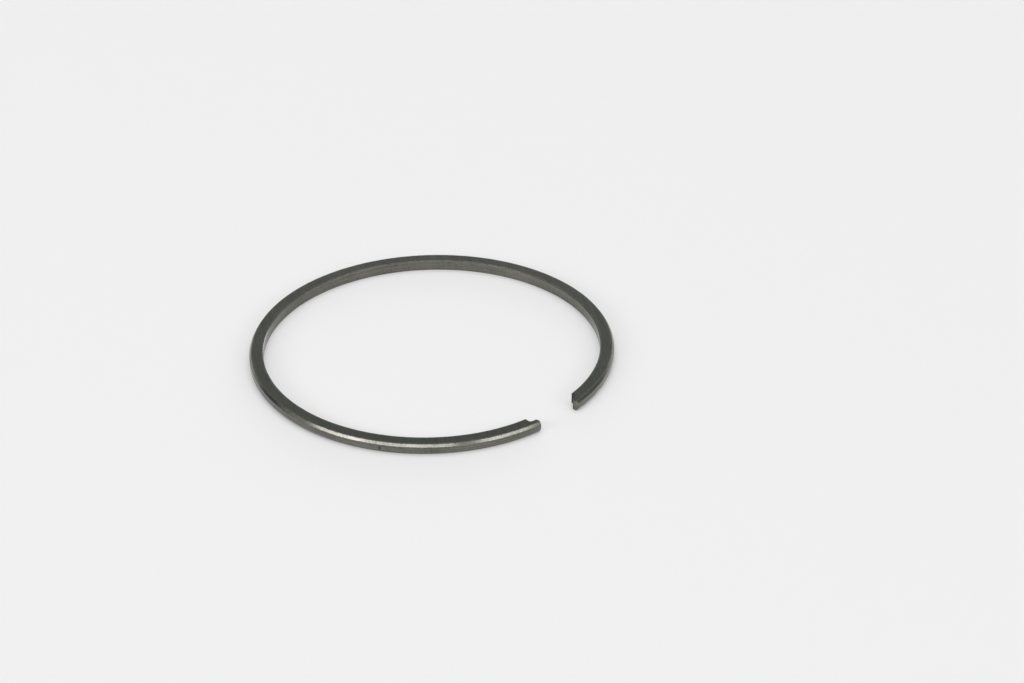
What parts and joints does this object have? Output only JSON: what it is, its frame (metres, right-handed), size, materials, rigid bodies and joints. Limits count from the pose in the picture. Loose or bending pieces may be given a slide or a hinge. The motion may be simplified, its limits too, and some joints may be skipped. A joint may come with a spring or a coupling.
{
  "type": "piston ring",
  "caption": "Split piston ring in its free form, with bevelled running-face edges and pin notches inside its ends; it springs shut in a piston groove to seal a cylinder bore.",
  "frame": {"origin": "middle of the free ring between its back and its ends, on the plane of the lower flank", "axes": "+Z along the ring's axis, towards the upper flank; +X towards the gap; +Y across, where the free ring is widest"},
  "size_m": [0.0482, 0.0494, 0.0015],
  "materials": {
    "phosphated_iron": "dark phosphated, satin"
  },
  "bodies": {
    "root": {"piston_ring": "phosphated_iron"}
  },
  "joints": []
}
